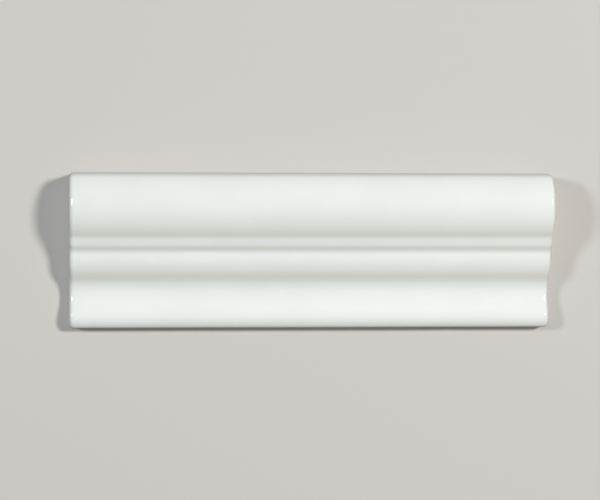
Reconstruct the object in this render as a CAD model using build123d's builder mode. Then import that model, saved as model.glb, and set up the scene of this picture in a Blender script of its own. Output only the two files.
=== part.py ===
from build123d import *
from math import sqrt
import os

# A glazed ceramic skirting tile: one pressed and fired piece with a moulded face and a keyed back.
# It lies on its back. X runs along the tile, Y from its bottom edge to its top edge, and Z out of
# the face. The origin is the middle of the back. All sizes are in millimetres.

# Overall
tile_length = 200.0
tile_height = 64.0
web_thickness = 7.0  # at the bottom of the hollow, where the tile is thinnest

# Roll along the top edge, the thickest member
roll_radius = 19.0
roll_rise = 5.1  # height of its crest above the fillet below it
roll_crest = 13.5  # from the top edge down to the crest
shoulder_radius = 5.5  # where the roll turns over into the top edge

# Sloping fillet and small step below the roll
fillet_width = 3.9
fillet_fall = 1.6
step_width = 1.95
step_rise = 1.85
quirk_radius = 3.3  # glaze lies this round in the inner corners
arris_radius = 3.4  # and this round over the outer corner

# Ogee, which takes the height that the other members leave
land_width = 1.6  # flat above its round part
ogee_rise = 6.5
ogee_bend = 0.58  # where the round part gives way to the hollow part, along the ogee

# Hollow and low lip along the bottom edge
hollow_width = 9.8  # from the bottom of the hollow to the crest of the lip
hollow_bend = 0.65  # where the hollow gives way to the lip
lip_rise = 1.8
lip_width = 4.5  # from the crest of the lip to the bottom edge
lip_fall = 2.1
lip_edge_radius = 2.25

# Ends and back
end_radius = 2.0  # glazed arris round each end
back_chamfer = 0.5
key_count = 6
key_width = 4.0
key_pitch = 8.0
key_depth = 1.0
key_margin = 10.0  # plain border between the keys and each end

# Levels of the members above the back
ogee_level = web_thickness + ogee_rise
arris_level = ogee_level + step_rise
quirk_level = arris_level + fillet_fall
crest_level = quirk_level + roll_rise
lip_level = web_thickness + lip_rise

# Places of the members, from the top edge down and from the bottom edge up
top_edge = tile_height / 2
bottom_edge = -tile_height / 2
crest_y = top_edge - roll_crest
quirk_y = crest_y - sqrt(roll_radius**2 - (roll_radius - roll_rise) ** 2)
arris_y = quirk_y - fillet_width
step_y = arris_y - step_width
ogee_y = step_y - land_width
lip_y = bottom_edge + lip_width
hollow_y = lip_y + hollow_width

# Where the roll would meet the top edge, and the lip the bottom edge, if their corners were sharp
shoulder_level = crest_level - roll_radius + sqrt(roll_radius**2 - roll_crest**2)
lip_edge_level = lip_level - lip_fall

# The corners of the section
shoulder = Vector(top_edge, shoulder_level)
crest = Vector(crest_y, crest_level)
quirk = Vector(quirk_y, quirk_level)
arris = Vector(arris_y, arris_level)
step_foot = Vector(step_y, ogee_level)
ogee_top = Vector(ogee_y, ogee_level)
hollow = Vector(hollow_y, web_thickness)
lip = Vector(lip_y, lip_level)
lip_edge = Vector(bottom_edge, lip_edge_level)

# A reverse curve between level tangents changes hand on the straight line between its ends
ogee_turn = ogee_top + (hollow - ogee_top) * ogee_bend
hollow_turn = hollow + (lip - hollow) * hollow_bend
downward = (-1, 0)

# The arris round the ends is no larger than the smallest outer corner that it runs over
end_arris = min(end_radius, 0.9 * arris_radius, 0.9 * lip_edge_radius)

with BuildPart() as skirting_tile:
    # The section, drawn from the top edge over the face to the bottom edge
    with BuildSketch(Plane.YZ) as section:
        with BuildLine():
            Line((top_edge, 0), shoulder)
            ThreePointArc(shoulder, crest, quirk)
            Polyline(quirk, arris, step_foot, ogee_top)
            ogee_round = TangentArc(ogee_top, ogee_turn, tangent=downward)
            TangentArc(ogee_turn, hollow, tangent=ogee_round % 1)
            hollow_rise = TangentArc(hollow, hollow_turn, tangent=downward)
            TangentArc(hollow_turn, lip, tangent=hollow_rise % 1)
            TangentArc(lip, lip_edge, tangent=downward)
            Polyline(lip_edge, (bottom_edge, 0), (top_edge, 0))
        make_face()
        corner_radii = [
            (shoulder, shoulder_radius),
            (quirk, quirk_radius),
            (arris, arris_radius),
            (step_foot, quirk_radius),
            (lip_edge, lip_edge_radius),
        ]
        for corner, radius in corner_radii:
            fillet(section.vertices().sort_by_distance(corner)[0], radius)
    extrude(amount=tile_length / 2, both=True)

    # Glaze softens the ends all round the face and the edges, but not at the back
    ends = skirting_tile.faces().filter_by(Axis.X)
    back = skirting_tile.faces().sort_by(Axis.Z)[0]
    fillet(ends.edges() - back.edges(), end_arris)
    back = skirting_tile.faces().sort_by(Axis.Z)[0]
    chamfer(back.edges(), back_chamfer)

    # Keys for the adhesive, pressed into the back and stopped short of the ends
    with BuildSketch(Plane.XY):
        with GridLocations(0, key_pitch, 1, key_count):
            SlotOverall(tile_length - 2 * key_margin, key_width)
    extrude(amount=key_depth, mode=Mode.SUBTRACT)

skirting_tile.part.label = "skirting_tile"
os.makedirs("parts", exist_ok=True)
export_step(skirting_tile.part, "parts/skirting_tile.step")
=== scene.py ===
from math import radians

import bmesh
import bpy
import numpy as np
from bpy.props import FloatProperty, FloatVectorProperty, PointerProperty
from bpy.types import Operator, Panel, PropertyGroup
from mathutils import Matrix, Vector, noise


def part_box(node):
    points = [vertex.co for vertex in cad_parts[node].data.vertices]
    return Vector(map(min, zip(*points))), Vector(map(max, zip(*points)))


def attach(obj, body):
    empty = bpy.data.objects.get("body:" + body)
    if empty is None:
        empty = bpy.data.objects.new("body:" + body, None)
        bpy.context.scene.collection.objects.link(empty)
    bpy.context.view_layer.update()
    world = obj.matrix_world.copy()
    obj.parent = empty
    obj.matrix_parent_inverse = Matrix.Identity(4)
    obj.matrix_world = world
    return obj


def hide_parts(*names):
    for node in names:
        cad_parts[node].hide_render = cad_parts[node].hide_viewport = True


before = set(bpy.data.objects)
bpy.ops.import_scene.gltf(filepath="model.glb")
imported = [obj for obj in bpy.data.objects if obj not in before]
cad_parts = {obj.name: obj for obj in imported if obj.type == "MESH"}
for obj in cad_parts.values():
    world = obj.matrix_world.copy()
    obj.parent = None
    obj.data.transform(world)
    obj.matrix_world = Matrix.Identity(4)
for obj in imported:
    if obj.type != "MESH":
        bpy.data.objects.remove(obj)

bl_info = {
    "name": "Glazed Skirting Tile",
    "version": (1, 0, 0),
    "blender": (4, 5, 0),
    "location": "3D View > Sidebar > Tile",
    "description": "Dresses a moulded skirting tile in white glaze and sets up a soft studio",
    "category": "Object",
}

NODE = "skirting_tile"

# The tile is centred on its back, so its highest corner gives half its length and half its height
HALF_LENGTH, HALF_HEIGHT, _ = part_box(NODE)[1]

# Cleaning and cutting the copied mesh, in metres
MERGE = 0.0001  # points of the plain shape closer than this become one
SLIVER = 0.00002  # and so do points closer than this after the cuts
FLAT = 0.9999  # a face this square to an axis belongs to a flat part
SHARP = radians(35.0)
CUT_INSET = 0.0018  # from the tile's box to the outermost cuts
RINGS = 92
COLUMNS = 44
ROWS = 7
LOWEST_ROW = 0.001
HIGHEST_ROW = 0.004

# Places on the tile, in metres
CHAMFER = 0.0005  # height of the bevel round the back
EDGE_BAND = 0.003  # the edges and ends lie within this distance of the tile's box
FOOT = 0.0055  # below this height the edges and ends are straight
MIDDLE = 0.0015  # half the width of the strip in which the section is measured
STEP = 0.0001  # between the places where it is measured
EDGE_FADE = 0.004  # over this distance from the long edges the softening grows to its full amount
QUIRK_PLACE = 0.0052
QUIRK_REACH = 0.0012
SHOULDER_PLACE = 0.024
SHOULDER_REACH = 0.008
RIPPLE_SIZE = 0.022

# Glaze: the downward slopes that get a warm painted shade, and the line in which it ends
# The warm painted shade grows between these slopes, which face down, away from the lamps
SHADE_SLOPE_FROM = 0.25  # slope, as fall over run
SHADE_SLOPE_TO = 0.9
GLAZE_EDGE = 0.0003  # width over which it thins out at its line
SLOW_WAVES = 70.0  # to the metre
SLOW_HEIGHT = 0.0007
QUICK_WAVES = 210.0
QUICK_HEIGHT = 0.0003
QUICK_OFFSET = Vector((3.0, 5.0, 0.0))

# Patterns in the finish, by their scale to the metre
CLOUDS = 55.0
SPECKS = 900.0
PEEL = 420.0
GLOSS_PATCHES = 130.0
STAINS = 70.0
GRAIN = 1600.0
SPECK_COLOR = (0.45, 0.40, 0.33)
GRAIN_COLOR = (0.82, 0.76, 0.66)

# The studio, in metres
FLOOR_SIZE = 12.0
FLOOR_BOUNCE = 0.35  # share of its colour that the floor throws back on the tile
LAMP_SIZE = 0.24
LEFT_PLACE = (-1.13, 0.26, 1.13)
LEFT_TINT = (0.88, 0.96, 1.0)
RIGHT_PLACE = (0.85, 0.31, 1.36)
RIGHT_TINT = (1.0, 0.985, 0.955)
ROOM_TINT = (1.0, 0.98, 0.95)
CAMERA_X = -0.09705
CAMERA_Y = 0.00027
CAMERA_TURN = radians(-4.75)
CAMERA_SENSOR = 36.0
CAMERA_LENS = 122.77
CAMERA_SHIFT = 0.09

# The Mix node's colour sockets go by number, because their names repeat
MIX_FIRST = 6
MIX_SECOND = 7
MIX_RESULT = 2


class TileSettings(PropertyGroup):
    """Sizes and colours of the glazed tile."""

    glaze_color: FloatVectorProperty(
        name="Glaze",
        description="Colour of the glaze on the face",
        subtype="COLOR",
        size=3,
        min=0.0,
        max=1.0,
        default=(0.838, 0.862, 0.838),
    )
    # Warm, slightly darker colour painted on the downward slopes as shade, since they face away from
    # the lamps
    down_slope_shade_color: FloatVectorProperty(
        name="Thin glaze",
        description="Colour of the glaze where it runs thin and the body warms it",
        subtype="COLOR",
        size=3,
        min=0.0,
        max=1.0,
        default=(0.845, 0.845, 0.79),
    )
    clay_color: FloatVectorProperty(
        name="Fired clay",
        description="Colour of the bare body at the back and below the glaze",
        subtype="COLOR",
        size=3,
        min=0.0,
        max=1.0,
        default=(0.66, 0.58, 0.47),
    )
    glaze_roughness: FloatProperty(
        name="Glaze roughness",
        description="How soft the reflections in the glaze are",
        subtype="FACTOR",
        min=0.0,
        max=1.0,
        default=0.09,
    )
    glaze_stop: FloatProperty(
        name="Glaze stops at",
        description="Mean height above the back where the glaze ends on the edges",
        subtype="DISTANCE",
        unit="LENGTH",
        min=0.0015,
        max=0.004,
        default=0.0023,
    )
    glaze_depth: FloatProperty(
        name="Glaze thickness",
        description="Thickness of the glaze, by which the bare clay is set back",
        subtype="DISTANCE",
        unit="LENGTH",
        min=0.0,
        max=0.0006,
        default=0.00025,
    )
    softness: FloatProperty(
        name="Softness",
        description="Reach over which the glaze rounds the inner corners",
        subtype="DISTANCE",
        unit="LENGTH",
        min=0.0002,
        max=0.002,
        default=0.0006,
    )
    quirk_depth: FloatProperty(
        name="Quirk depth",
        description="How much deeper the corner under the roll is drawn in",
        subtype="DISTANCE",
        unit="LENGTH",
        min=0.0,
        max=0.0003,
        default=0.0001,
    )
    shoulder_fall: FloatProperty(
        name="Shoulder fall",
        description="How much lower the face lies along the top edge",
        subtype="DISTANCE",
        unit="LENGTH",
        min=0.0,
        max=0.001,
        default=0.0005,
    )
    ripple: FloatProperty(
        name="Ripple",
        description="Depth of the slow ripple that firing leaves in the face",
        subtype="DISTANCE",
        unit="LENGTH",
        min=0.0,
        max=0.0005,
        default=0.0001,
    )


class StageSettings(PropertyGroup):
    """Floor, lamps and camera."""

    floor_color: FloatVectorProperty(
        name="Floor",
        description="Colour of the floor",
        subtype="COLOR",
        size=3,
        min=0.0,
        max=1.0,
        default=(0.60, 0.58, 0.55),
    )
    shadow_lift: FloatProperty(
        name="Shadow lift",
        description="How much the shadows on the floor are eased",
        subtype="FACTOR",
        min=0.0,
        max=1.0,
        default=0.2,
    )
    fill: FloatProperty(
        name="Fill light",
        description="Strength of the even light from all round",
        min=0.0,
        max=2.0,
        default=0.07,
    )
    backdrop: FloatProperty(
        name="Backdrop",
        description="How pale the room looks behind the tile",
        min=0.0,
        max=2.0,
        default=0.45,
    )
    mirrored: FloatProperty(
        name="Mirrored room",
        description="How pale the room looks in the glaze",
        min=0.0,
        max=2.0,
        default=0.18,
    )
    left_lamp: FloatProperty(
        name="Left lamp",
        description="Power of the small lamp on the left",
        subtype="POWER",
        unit="POWER",
        min=0.0,
        max=100.0,
        default=11.2,
    )
    right_lamp: FloatProperty(
        name="Right lamp",
        description="Power of the small lamp on the right",
        subtype="POWER",
        unit="POWER",
        min=0.0,
        max=100.0,
        default=21.6,
    )
    camera_height: FloatProperty(
        name="Camera height",
        description="Height of the camera above the floor",
        subtype="DISTANCE",
        unit="LENGTH",
        min=0.3,
        max=3.0,
        default=0.85,
    )


class Socket:
    """A node's output, with arithmetic that adds Math nodes."""

    def __init__(self, tree, output):
        self.tree = tree
        self.output = output

    def __add__(self, other):
        return self.tree.math("ADD", self, other)

    def __radd__(self, other):
        return self.tree.math("ADD", other, self)

    def __sub__(self, other):
        return self.tree.math("SUBTRACT", self, other)

    def __rsub__(self, other):
        return self.tree.math("SUBTRACT", other, self)

    def __mul__(self, other):
        return self.tree.math("MULTIPLY", self, other)

    def __rmul__(self, other):
        return self.tree.math("MULTIPLY", other, self)


class NodeTree:
    """A material's or the world's nodes, emptied, with short ways of adding to them."""

    def __init__(self, owner):
        owner.use_nodes = True
        self.nodes = owner.node_tree.nodes
        self.links = owner.node_tree.links
        self.nodes.clear()

    def add(self, kind, settings, sockets, output=0):
        """Adds a node, sets it up, feeds its sockets and returns one of its outputs, if it has any."""
        node = self.nodes.new(kind)
        for name, value in settings.items():
            setattr(node, name, value)
        for socket, value in sockets.items():
            if isinstance(value, Socket):
                self.links.new(value.output, node.inputs[socket])
            else:
                node.inputs[socket].default_value = value
        if node.outputs:
            return Socket(self, node.outputs[output])
        return None

    def math(self, operation, *values):
        return self.add("ShaderNodeMath", {"operation": operation}, dict(enumerate(values)))

    def mix(self, factor, first, second):
        """Mixes two colours."""
        colors = {"Factor": factor, MIX_FIRST: first, MIX_SECOND: second}
        return self.add("ShaderNodeMix", {"data_type": "RGBA"}, colors, MIX_RESULT)

    def noise(self, place, scale, detail):
        sockets = {"Vector": place, "Scale": scale, "Detail": detail}
        return self.add("ShaderNodeTexNoise", {}, sockets)

    def ramp(self, value, low, high):
        """Runs smoothly from 0 to 1 as the value goes from low to high."""
        settings = {"interpolation_type": "SMOOTHSTEP"}
        sockets = {"Value": value, "From Min": low, "From Max": high}
        return self.add("ShaderNodeMapRange", settings, sockets)

    def attribute(self, name):
        """Reads the number that the piece keeps at each point under that name."""
        return self.add("ShaderNodeAttribute", {"attribute_name": name}, {}, "Fac")

    def light_path(self, kind):
        return self.add("ShaderNodeLightPath", {}, {}, kind)


def shade(color, share=1.0):
    """A share of a colour, opaque."""
    return (*[channel * share for channel in color], 1.0)


def glaze_material(tile):
    """White glaze with a warm painted shade on the downward slopes, and bare clay where it stops."""
    material = bpy.data.materials.new("white_glaze")
    tree = NodeTree(material)
    place = tree.add("ShaderNodeTexCoord", {}, {}, "Object")
    cover = tree.attribute("glaze_cover")
    slope_shade = tree.attribute("down_slope_shade")

    # Glaze: faint clouds in its colour, a warm painted shade on the downward slopes, and a few pinhead
    # specks
    cloud = tree.ramp(tree.noise(place, CLOUDS, 3.0), 0.3, 0.7)
    glaze = tree.mix(cloud, shade(tile.glaze_color, 0.975), shade(tile.glaze_color))
    # Painted shade: the downward slopes, which face away from the lamps, get the warmer shade colour
    glaze = tree.mix(slope_shade, glaze, shade(tile.down_slope_shade_color))
    speck = tree.ramp(tree.noise(place, SPECKS, 1.0), 0.79, 0.83)
    glaze = tree.mix(speck * 0.25, glaze, shade(SPECK_COLOR))

    # Clay: slow stains and a fine pale grain
    grain = tree.noise(place, GRAIN, 4.0)
    stain = tree.ramp(tree.noise(place, STAINS, 3.0), 0.3, 0.7)
    clay = tree.mix(stain, shade(tile.clay_color, 0.88), shade(tile.clay_color))
    clay = tree.mix(tree.ramp(grain, 0.35, 0.75) * 0.35, clay, shade(GRAIN_COLOR))

    # The glaze is glossy and faintly uneven, the clay dull and rough
    gloss = tile.glaze_roughness + 0.05 * tree.noise(place, GLOSS_PATCHES, 2.0)
    dull = 0.86 + 0.1 * grain
    peel = tree.noise(place, PEEL, 2.0)
    height = cover * peel * 0.012 + (1.0 - cover) * grain * 0.12
    relief = {"Strength": 1.0, "Distance": 0.001, "Height": height}
    finish = {
        "Base Color": tree.mix(cover, clay, glaze),
        "Roughness": cover * gloss + (1.0 - cover) * dull,
        "Normal": tree.add("ShaderNodeBump", {}, relief),
        "IOR": 1.5,
    }
    surface = tree.add("ShaderNodeBsdfPrincipled", {}, finish)
    tree.add("ShaderNodeOutputMaterial", {}, {"Surface": surface})
    return material


def only(piece):
    """Makes the piece the one selected and active object."""
    bpy.ops.object.select_all(action="DESELECT")
    piece.select_set(True)
    bpy.context.view_layer.objects.active = piece


def is_end(face):
    """Tells whether a face is part of a flat end."""
    return abs(face.normal.x) > FLAT


def is_flat(face):
    """Tells whether a face is part of the flat back, a key or a flat end."""
    return is_end(face) or face.normal.z < -FLAT


def select_faces(piece, wanted):
    """Selects the faces, in edit mode, that the test picks out."""
    bpy.ops.mesh.select_mode(type="FACE")
    bpy.ops.mesh.select_all(action="DESELECT")
    shape = bmesh.from_edit_mesh(piece.data)
    for face in shape.faces:
        if wanted(face):
            face.select_set(True)
    bmesh.update_edit_mesh(piece.data)


def select_flat_edges(piece):
    """Adds the edges within the flat parts to the selection, in edit mode."""
    shape = bmesh.from_edit_mesh(piece.data)
    for edge in shape.edges:
        if all(is_flat(face) for face in edge.link_faces):
            edge.select_set(True)
    bmesh.update_edit_mesh(piece.data)


def cut(piece, axis, first, last, count, wanted):
    """Cuts the wanted faces across an axis at even steps."""
    normal = [0.0, 0.0, 0.0]
    normal[axis] = 1.0
    for step in range(count):
        point = [0.0, 0.0, 0.0]
        point[axis] = first + (last - first) * step / (count - 1)
        select_faces(piece, wanted)
        bpy.ops.mesh.bisect(plane_co=point, plane_no=normal, threshold=1e-6)


def add_modifier(piece, kind, **settings):
    """Adds a modifier and applies it."""
    only(piece)
    bpy.ops.object.modifier_add(type=kind)
    modifier = piece.modifiers[-1]
    for name, value in settings.items():
        setattr(modifier, name, value)
    bpy.ops.object.modifier_apply(modifier=modifier.name)


def smooth(value):
    """Runs smoothly from 0 to 1 as the value does."""
    value = min(1.0, max(0.0, value))
    return value * value * (3.0 - 2.0 * value)


def glaze_line(point, stop):
    """Height at which the brushed glaze ends, below a point on the edge."""
    along = Vector((point.x, point.y, 0.0))
    slow = noise.noise(along * SLOW_WAVES)
    quick = noise.noise(along * QUICK_WAVES + QUICK_OFFSET)
    return stop + SLOW_HEIGHT * slow + QUICK_HEIGHT * quick


def store(mesh, name, values):
    """Keeps one number for each point of the mesh."""
    attribute = mesh.attributes.new(name, "FLOAT", "POINT")
    attribute.data.foreach_set("value", values)


def spread(values, reach):
    """Averages evenly spaced values over their neighbours, with a bell curve of that reach."""
    count = round(3.0 * reach / STEP)
    offsets = np.arange(-count, count + 1) * STEP
    bell = np.exp(-0.5 * (offsets / reach) ** 2)
    padded = np.pad(values, count, mode="edge")
    return np.convolve(padded, bell / bell.sum(), mode="valid")


def measure_section(mesh):
    """Reads the face's height across the middle of the tile, at even steps."""
    middle = []
    for vertex in mesh.vertices:
        if abs(vertex.co.x) < MIDDLE and vertex.co.z > FOOT:
            middle.append((vertex.co.y, vertex.co.z))
    middle.sort()
    across, heights = np.array(middle).T
    places = np.arange(-HALF_HEIGHT, HALF_HEIGHT, STEP)
    return places, np.interp(places, across, heights)


def lay_glaze(piece, tile):
    """Lets the glaze run soft into the corners, and notes the downward slopes that get a painted
    shade.
    """
    mesh = piece.data
    places, section = measure_section(mesh)
    quirk = np.exp(-0.5 * ((places - QUIRK_PLACE) / QUIRK_REACH) ** 2)
    lift = spread(section, tile.softness) - section
    lift -= tile.quirk_depth * quirk
    slope = np.gradient(section + lift, STEP)
    lift *= np.clip((HALF_HEIGHT - np.abs(places)) / EDGE_FADE, 0.0, 1.0)
    shoulder = np.clip((places - SHOULDER_PLACE) / SHOULDER_REACH, 0.0, 1.0)
    lift -= tile.shoulder_fall * shoulder**2

    # The ends follow the face: what lies below its outline moves by its share of the height
    slope_shade = []
    for vertex in mesh.vertices:
        point = vertex.co
        steep = 0.0
        if point.z > FOOT:
            steep = np.interp(point.y, places, slope)
            depth = max(np.interp(point.y, places, section) - FOOT, CHAMFER)
            share = min(1.0, (point.z - FOOT) / depth)
            point.z += share * np.interp(point.y, places, lift)
        # Painted shade mask: grows on the slopes that face down, away from the lamps
        slope_shade.append(smooth((steep - SHADE_SLOPE_FROM) / (SHADE_SLOPE_TO - SHADE_SLOPE_FROM)))
    store(mesh, "down_slope_shade", slope_shade)
    mesh.update()


def cover_edges(piece, tile):
    """Notes how far each point is covered by glaze, and sets the bare clay back below it."""
    mesh = piece.data
    outward = [Vector((vertex.normal.x, vertex.normal.y, 0.0)) for vertex in mesh.vertices]
    cover = []
    for vertex in mesh.vertices:
        line = glaze_line(vertex.co, tile.glaze_stop)
        cover.append(smooth((vertex.co.z - line) / GLAZE_EDGE + 0.5))
    for vertex, covered, away in zip(mesh.vertices, cover, outward):
        point = vertex.co
        beside = min(HALF_LENGTH - abs(point.x), HALF_HEIGHT - abs(point.y))
        if beside < EDGE_BAND:
            bare = smooth(point.z / CHAMFER) * (1.0 - covered)
            vertex.co = point - away.normalized() * tile.glaze_depth * bare
    store(mesh, "glaze_cover", cover)
    face = piece.vertex_groups.new(name="glazed_face")
    for index, covered in enumerate(cover):
        face.add([index], covered, "REPLACE")
    mesh.update()


def copy_plain():
    """Copies the plain tile as a clean mesh: one face to each end, quads on the face and the edges."""
    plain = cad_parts[NODE]
    piece = bpy.data.objects.new("glazed_tile", plain.data.copy())
    bpy.context.collection.objects.link(piece)
    only(piece)
    bpy.ops.object.mode_set(mode="EDIT")
    bpy.ops.mesh.select_all(action="SELECT")
    bpy.ops.mesh.remove_doubles(threshold=MERGE)
    bpy.ops.mesh.customdata_custom_splitnormals_clear()
    select_faces(piece, is_end)
    bpy.ops.mesh.dissolve_faces()
    select_faces(piece, lambda face: not is_flat(face))
    bpy.ops.mesh.tris_convert_to_quads(
        face_threshold=radians(0.5), shape_threshold=radians(180.0)
    )
    bpy.ops.object.mode_set(mode="OBJECT")
    return piece


def divide(piece):
    """Cuts rings across the length, columns on the ends and rows along the edges."""
    only(piece)
    bpy.ops.object.mode_set(mode="EDIT")
    reach = HALF_LENGTH - CUT_INSET
    cut(piece, 0, -reach, reach, RINGS, lambda face: True)
    reach = HALF_HEIGHT - CUT_INSET
    cut(piece, 1, -reach, reach, COLUMNS, lambda face: abs(face.normal.x) > 0.99)
    cut(piece, 2, LOWEST_ROW, HIGHEST_ROW, ROWS, lambda face: abs(face.normal.z) < 0.1)
    bpy.ops.mesh.select_all(action="SELECT")
    bpy.ops.mesh.remove_doubles(threshold=SLIVER)
    bpy.ops.mesh.dissolve_degenerate(threshold=SLIVER)
    bpy.ops.object.mode_set(mode="OBJECT")


def round_off(piece):
    """Rounds the face finer, but keeps the corners at the back and the flat parts as they are."""
    only(piece)
    bpy.ops.object.mode_set(mode="EDIT")
    bpy.ops.mesh.select_mode(type="EDGE")
    bpy.ops.mesh.select_all(action="DESELECT")
    bpy.ops.mesh.edges_select_sharp(sharpness=SHARP)
    select_flat_edges(piece)
    bpy.ops.transform.edge_crease(value=1.0)
    bpy.ops.object.mode_set(mode="OBJECT")
    add_modifier(piece, "SUBSURF", levels=1, render_levels=1)


def ripple_face(piece, depth):
    """Gives the glazed face the slow ripple that firing leaves, always inwards."""
    cloud = bpy.data.textures.new("firing_ripple", "CLOUDS")
    cloud.noise_scale = RIPPLE_SIZE
    cloud.noise_depth = 1
    add_modifier(
        piece,
        "DISPLACE",
        texture=cloud,
        texture_coords="LOCAL",
        vertex_group="glazed_face",
        strength=depth,
        mid_level=1.0,
    )


def make_tile(tile):
    """Makes the fired tile from a copy of its plain shape, with a rippled face and a glaze edge."""
    piece = copy_plain()
    divide(piece)
    round_off(piece)
    lay_glaze(piece, tile)
    cover_edges(piece, tile)
    ripple_face(piece, tile.ripple)
    only(piece)
    bpy.ops.object.shade_smooth_by_angle(angle=SHARP)
    piece.data.materials.clear()
    piece.data.materials.append(glaze_material(tile))
    return piece


def make_floor(stage):
    """Lays a wide plain floor, pale to look at, that throws little light back on the edges."""
    bpy.ops.object.select_all(action="DESELECT")
    bpy.ops.mesh.primitive_plane_add(size=FLOOR_SIZE, location=(0.0, 0.0, 0.0))
    floor = bpy.context.object
    floor.name = "floor"
    material = bpy.data.materials.new("floor_paint")
    tree = NodeTree(material)
    seen = tree.light_path("Is Camera Ray")
    color = stage.floor_color
    lift = stage.shadow_lift
    paint = {
        "Base Color": tree.mix(seen, shade(color, FLOOR_BOUNCE), shade(color, 1.0 - lift)),
        "Roughness": 0.9,
        "Emission Color": tree.mix(seen, shade(color, 0.0), shade(color, lift)),
        "Emission Strength": 1.0,
    }
    surface = tree.add("ShaderNodeBsdfPrincipled", {}, paint)
    tree.add("ShaderNodeOutputMaterial", {}, {"Surface": surface})
    floor.data.materials.append(material)


def make_lamp(name, place, power, tint):
    """Hangs a small square lamp that faces the tile."""
    bpy.ops.object.select_all(action="DESELECT")
    bpy.ops.object.light_add(type="AREA", location=place)
    lamp = bpy.context.object
    lamp.name = name
    lamp.data.shape = "SQUARE"
    lamp.data.size = LAMP_SIZE
    lamp.data.energy = power
    lamp.data.color = tint
    lamp.rotation_euler = (-Vector(place)).to_track_quat("-Z", "Y").to_euler()


def make_camera(stage):
    """Looks down on the face from a little to the left, the tile just right of the middle."""
    bpy.ops.object.select_all(action="DESELECT")
    bpy.ops.object.camera_add(location=(CAMERA_X, CAMERA_Y, stage.camera_height))
    camera = bpy.context.object
    camera.name = "camera"
    camera.rotation_euler = (0.0, CAMERA_TURN, 0.0)
    camera.data.sensor_width = CAMERA_SENSOR
    camera.data.lens = CAMERA_LENS
    camera.data.shift_x = CAMERA_SHIFT
    camera.data.dof.use_dof = False
    bpy.context.scene.camera = camera


def make_world(stage):
    """Fills the room with faint warm light; the room itself looks pale, also in the glaze."""
    world = bpy.data.worlds.new("soft_room")
    bpy.context.scene.world = world
    tree = NodeTree(world)
    seen = tree.light_path("Is Camera Ray")
    mirrored = tree.light_path("Is Glossy Ray")
    strength = stage.fill + seen * (stage.backdrop - stage.fill)
    strength = strength + mirrored * (stage.mirrored - stage.fill)
    sky = tree.add(
        "ShaderNodeBackground", {}, {"Color": shade(ROOM_TINT), "Strength": strength}
    )
    tree.add("ShaderNodeOutputWorld", {}, {"Surface": sky})


class TILE_OT_glazed_tile(Operator):
    """Build the glazed tile"""

    bl_idname = "tile.glazed_tile"
    bl_label = "Glazed Tile"

    def execute(self, context):
        piece = make_tile(context.scene.tile_settings)
        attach(piece, "root")
        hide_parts(NODE)
        return {"FINISHED"}


class TILE_OT_stage(Operator):
    """Set up the floor, the lamps and the camera"""

    bl_idname = "tile.stage"
    bl_label = "Studio"

    def execute(self, context):
        stage = context.scene.stage_settings
        context.scene.view_settings.view_transform = "Standard"
        make_world(stage)
        make_floor(stage)
        make_lamp("left_lamp", LEFT_PLACE, stage.left_lamp, LEFT_TINT)
        make_lamp("right_lamp", RIGHT_PLACE, stage.right_lamp, RIGHT_TINT)
        make_camera(stage)
        return {"FINISHED"}


class TILE_PT_panel(Panel):
    """Tile settings and the buttons that build it"""

    bl_idname = "TILE_PT_panel"
    bl_label = "Skirting Tile"
    bl_space_type = "VIEW_3D"
    bl_region_type = "UI"
    bl_category = "Tile"

    def draw(self, context):
        layout = self.layout
        for name in TileSettings.__annotations__:
            layout.prop(context.scene.tile_settings, name)
        layout.operator(TILE_OT_glazed_tile.bl_idname)
        for name in StageSettings.__annotations__:
            layout.prop(context.scene.stage_settings, name)
        layout.operator(TILE_OT_stage.bl_idname)


CLASSES = (
    TileSettings,
    StageSettings,
    TILE_OT_glazed_tile,
    TILE_OT_stage,
    TILE_PT_panel,
)


def register():
    for item in CLASSES:
        bpy.utils.register_class(item)
    bpy.types.Scene.tile_settings = PointerProperty(type=TileSettings)
    bpy.types.Scene.stage_settings = PointerProperty(type=StageSettings)


def unregister():
    del bpy.types.Scene.stage_settings
    del bpy.types.Scene.tile_settings
    for item in reversed(CLASSES):
        bpy.utils.unregister_class(item)


def main():
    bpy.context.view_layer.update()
    register()
    bpy.ops.tile.glazed_tile()
    bpy.ops.tile.stage()


if __name__ == "__main__":
    main()
